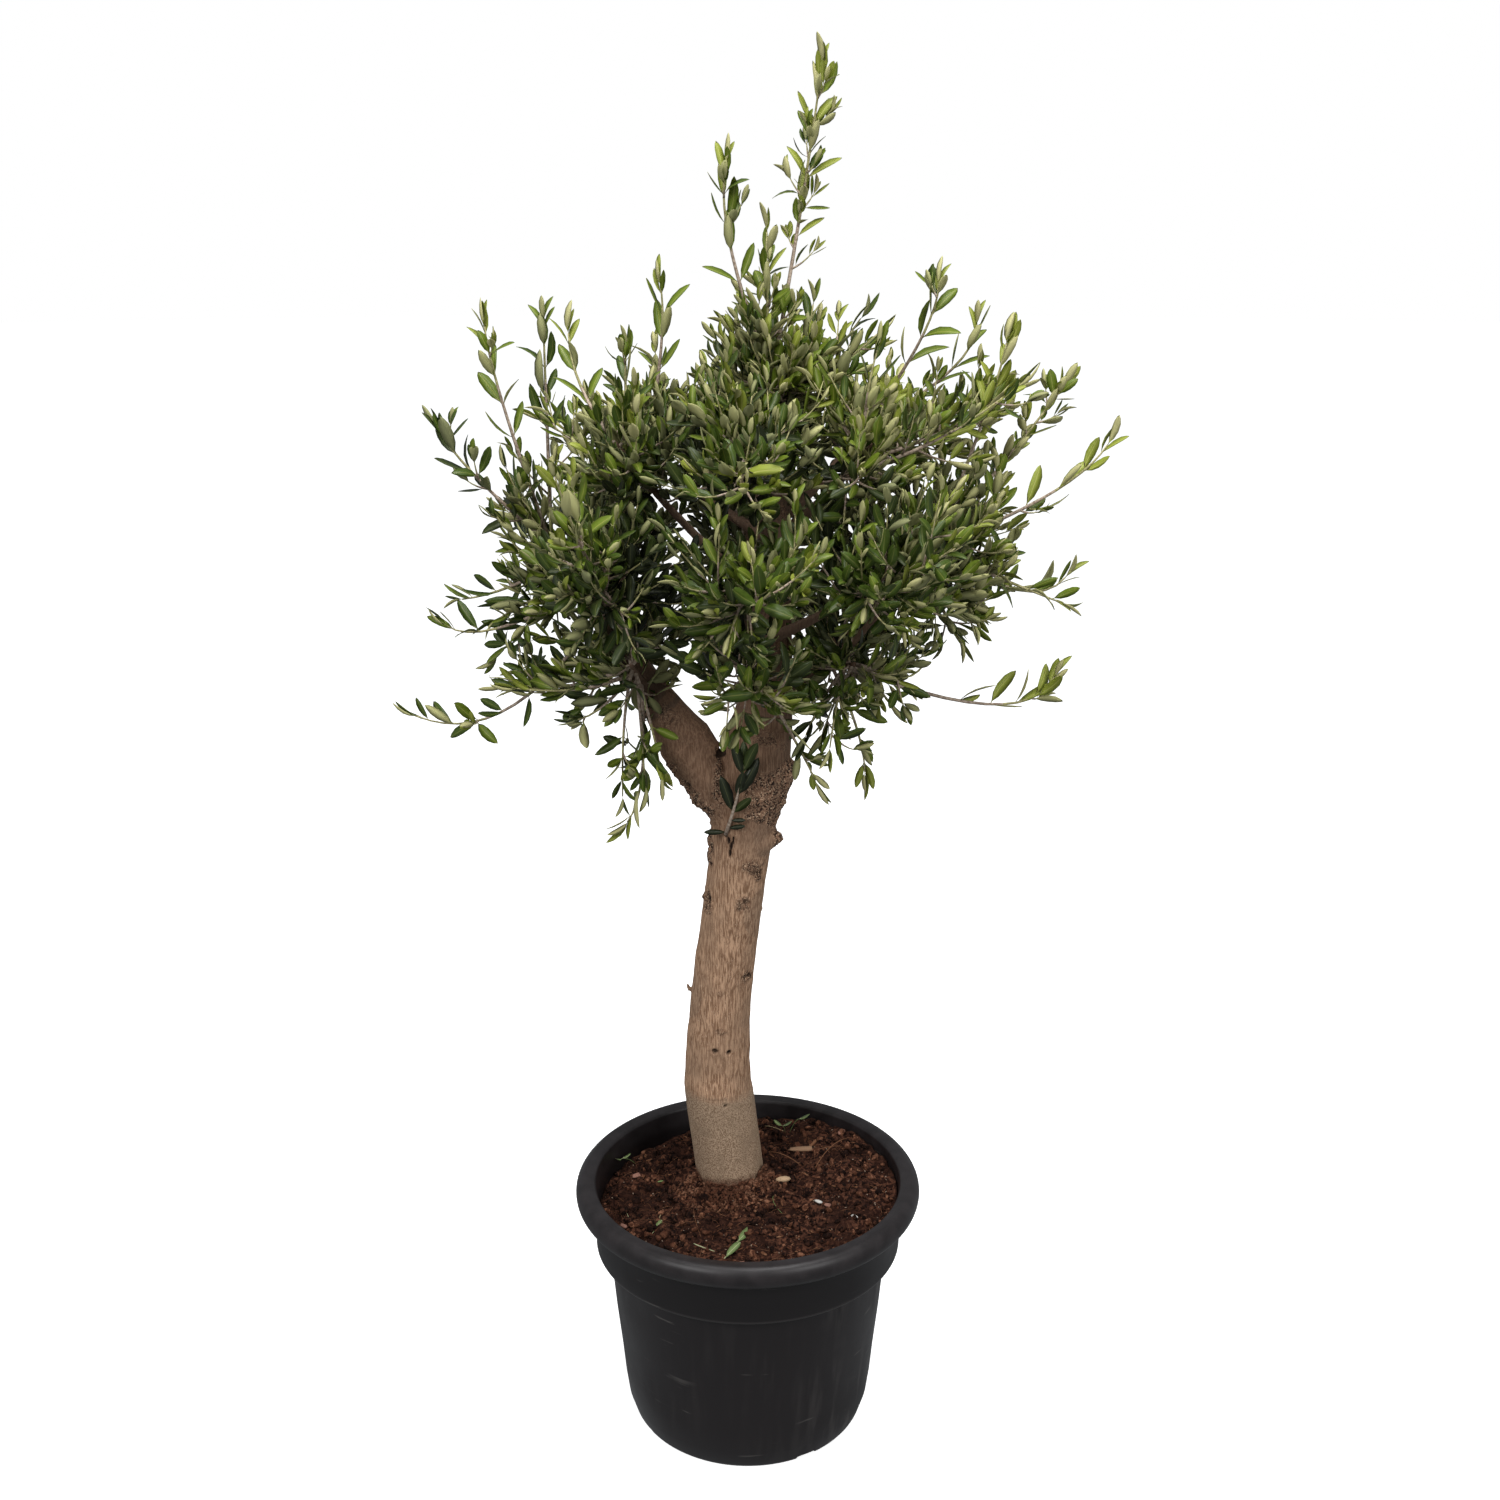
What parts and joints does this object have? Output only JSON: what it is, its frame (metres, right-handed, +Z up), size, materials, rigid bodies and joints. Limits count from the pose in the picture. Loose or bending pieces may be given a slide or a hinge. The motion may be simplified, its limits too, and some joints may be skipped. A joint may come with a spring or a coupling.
{
  "type": "potted olive tree",
  "caption": "Young standard olive tree with a forked trunk, a rounded crown and long loose shoots, in a round black nursery container filled with soil.",
  "frame": {"origin": "middle of the pot's flat underside", "axes": "+Z up along the pot's axis, +X to the right and -Y towards the viewer, as in the picture"},
  "size_m": [0.857, 0.7287, 1.728],
  "materials": {
    "pot": "satin black moulded plastic with faint scuffs",
    "soil": "dark, moist, crumbly potting soil",
    "bark": "dry grey-brown bark with fine upright cracks",
    "leaf": "satin green leaves, paler underneath"
  },
  "bodies": {
    "root": {"pot": "pot", "soil": "soil", "trunk": "bark", "bough_left": "bark", "bough_middle": "bark", "bough_right": "bark", "bough_back": "bark", "bough_front": "bark", "branch_middle_back_right": "bark", "branch_middle_back_left": "bark", "branch_middle_front_left": "bark", "branch_middle_front_right": "bark", "branch_upper_1": "bark", "branch_upper_2": "bark", "branch_upper_3": "bark", "branch_upper_4": "bark", "branch_upper_5": "bark", "branch_upper_6": "bark", "branch_lower_1": "bark", "branch_lower_2": "bark", "branch_lower_3": "bark", "branch_lower_4": "bark", "branch_lower_5": "bark", "branch_lower_6": "bark", "foliage_top": "leaf", "foliage_middle_right": "leaf", "foliage_middle_back_right": "leaf", "foliage_middle_back": "leaf", "foliage_middle_back_left": "leaf", "foliage_middle_left": "leaf", "foliage_middle_front_left": "leaf", "foliage_middle_front": "leaf", "foliage_middle_front_right": "leaf", "foliage_upper_1": "leaf", "foliage_upper_2": "leaf", "foliage_upper_3": "leaf", "foliage_upper_4": "leaf", "foliage_upper_5": "leaf", "foliage_upper_6": "leaf", "foliage_lower_1": "leaf", "foliage_lower_2": "leaf", "foliage_lower_3": "leaf", "foliage_lower_4": "leaf", "foliage_lower_5": "leaf", "foliage_lower_6": "leaf", "foliage_sprout": "leaf"}
  },
  "joints": []
}
